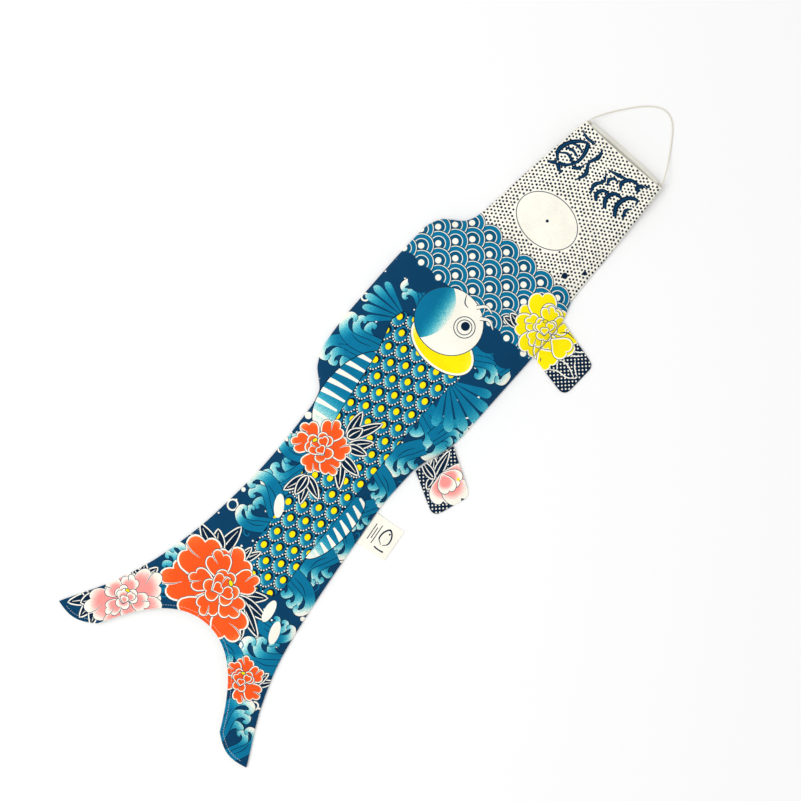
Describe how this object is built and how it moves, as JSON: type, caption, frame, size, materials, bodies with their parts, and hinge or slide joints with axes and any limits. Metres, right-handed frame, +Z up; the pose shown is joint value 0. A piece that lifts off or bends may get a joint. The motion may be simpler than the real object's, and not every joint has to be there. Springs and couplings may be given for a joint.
{
  "type": "carp streamer",
  "caption": "Hollow printed cotton fish windsock with a hooped mouth, cord bridle, side fins, folded label and open swallow tail.",
  "frame": {"origin": "on the ground under the middle of the fish's length and width as it lies flat, the bridle left out", "axes": "+X towards the mouth, +Y towards the back of the fish, +Z up, square to the cloth"},
  "size_m": [1.0906, 0.354, 0.0262],
  "materials": {
    "printed_cotton": "plain-weave cotton, screen printed",
    "plain_cotton": "plain-weave cotton, unprinted",
    "overlock_thread": "overlocked edge",
    "label_tape": "woven cotton tape",
    "cotton_cord": "twisted cotton",
    "boning": "satin"
  },
  "bodies": {
    "head": {"head_front_panel": "printed_cotton", "head_back_panel": "printed_cotton", "head_top_seam": "overlock_thread", "head_bottom_seam": "overlock_thread", "mouth_hoop": "boning", "hoop_sleeve": "boning", "mouth_casing_front": "plain_cotton", "mouth_casing_back": "plain_cotton"},
    "fore": {"fore_front_panel": "printed_cotton", "fore_back_panel": "printed_cotton", "fore_top_seam": "overlock_thread", "fore_bottom_seam": "overlock_thread", "neck_bottom_seam": "overlock_thread", "pectoral_fin_root": "printed_cotton"},
    "mid": {"mid_front_panel": "printed_cotton", "mid_back_panel": "printed_cotton", "mid_top_seam": "overlock_thread", "mid_bottom_seam": "overlock_thread", "waist_bottom_seam": "overlock_thread", "pelvic_fin_root": "printed_cotton"},
    "rear": {"rear_front_panel": "printed_cotton", "rear_back_panel": "printed_cotton", "rear_top_seam": "overlock_thread", "rear_bottom_seam": "overlock_thread", "peduncle_bottom_seam": "overlock_thread", "side_label_root": "label_tape"},
    "tail": {"tail_front_panel": "printed_cotton", "tail_back_panel": "printed_cotton", "tail_top_seam": "overlock_thread", "tail_bottom_seam": "overlock_thread", "fork_front_hem": "plain_cotton", "fork_back_hem": "plain_cotton"},
    "top_lobe": {"top_lobe_front_panel": "printed_cotton", "top_lobe_back_panel": "printed_cotton", "top_lobe_seam": "overlock_thread", "top_lobe_front_hem": "plain_cotton", "top_lobe_back_hem": "plain_cotton"},
    "bottom_lobe": {"bottom_lobe_front_panel": "printed_cotton", "bottom_lobe_back_panel": "printed_cotton", "bottom_lobe_seam": "overlock_thread", "bottom_lobe_front_hem": "plain_cotton", "bottom_lobe_back_hem": "plain_cotton"},
    "pectoral_fin": {"pectoral_fin_front": "printed_cotton", "pectoral_fin_back": "printed_cotton"},
    "pelvic_fin": {"pelvic_fin_front": "printed_cotton", "pelvic_fin_back": "printed_cotton"},
    "label": {"side_label": "label_tape"},
    "bridle": {"bridle_cord": "cotton_cord", "bridle_knot_top": "cotton_cord", "bridle_knot_bottom": "cotton_cord"}
  },
  "joints": [
    {"name": "neck_bend", "type": "hinge", "parent": "head", "child": "fore", "pos_m": [0.29403, 0, 0.011], "axis": [0, 1, 0], "range_deg": [-25, 25]},
    {"name": "trunk_bend", "type": "hinge", "parent": "fore", "child": "mid", "pos_m": [0.09903, 0, 0.0115], "axis": [0, 1, 0], "range_deg": [-25, 25]},
    {"name": "waist_bend", "type": "hinge", "parent": "mid", "child": "rear", "pos_m": [-0.08097, 0, 0.0085], "axis": [0, 1, 0], "range_deg": [-30, 30]},
    {"name": "tail_bend", "type": "hinge", "parent": "rear", "child": "tail", "pos_m": [-0.29097, 0, 0.008], "axis": [0, 1, 0], "range_deg": [-30, 30]},
    {"name": "top_lobe_flap", "type": "hinge", "parent": "tail", "child": "top_lobe", "pos_m": [-0.38065, 0.0861, 0.006], "axis": [0.7692, 0.639, 0], "range_deg": [-35, 35]},
    {"name": "bottom_lobe_flap", "type": "hinge", "parent": "tail", "child": "bottom_lobe", "pos_m": [-0.38065, -0.0861, 0.006], "axis": [-0.7692, 0.639, 0], "range_deg": [-35, 35]},
    {"name": "pectoral_fin_flap", "type": "hinge", "parent": "fore", "child": "pectoral_fin", "pos_m": [0.26609, -0.09341, 0.00095], "axis": [-0.9994, -0.034, 0], "range_deg": [-75, 75]},
    {"name": "pelvic_fin_flap", "type": "hinge", "parent": "mid", "child": "pelvic_fin", "pos_m": [0.03263, -0.0933, 0.00095], "axis": [-0.9677, 0.2522, 0], "range_deg": [-75, 75]},
    {"name": "label_flap", "type": "hinge", "parent": "rear", "child": "label", "pos_m": [-0.10977, -0.07672, 0.00075], "axis": [-0.9923, -0.1241, 0], "range_deg": [-75, 75]},
    {"name": "bridle_swing", "type": "hinge", "parent": "head", "child": "bridle", "pos_m": [0.50223, 0, 0.013], "axis": [0, -1, 0], "range_deg": [-60, 100]}
  ]
}
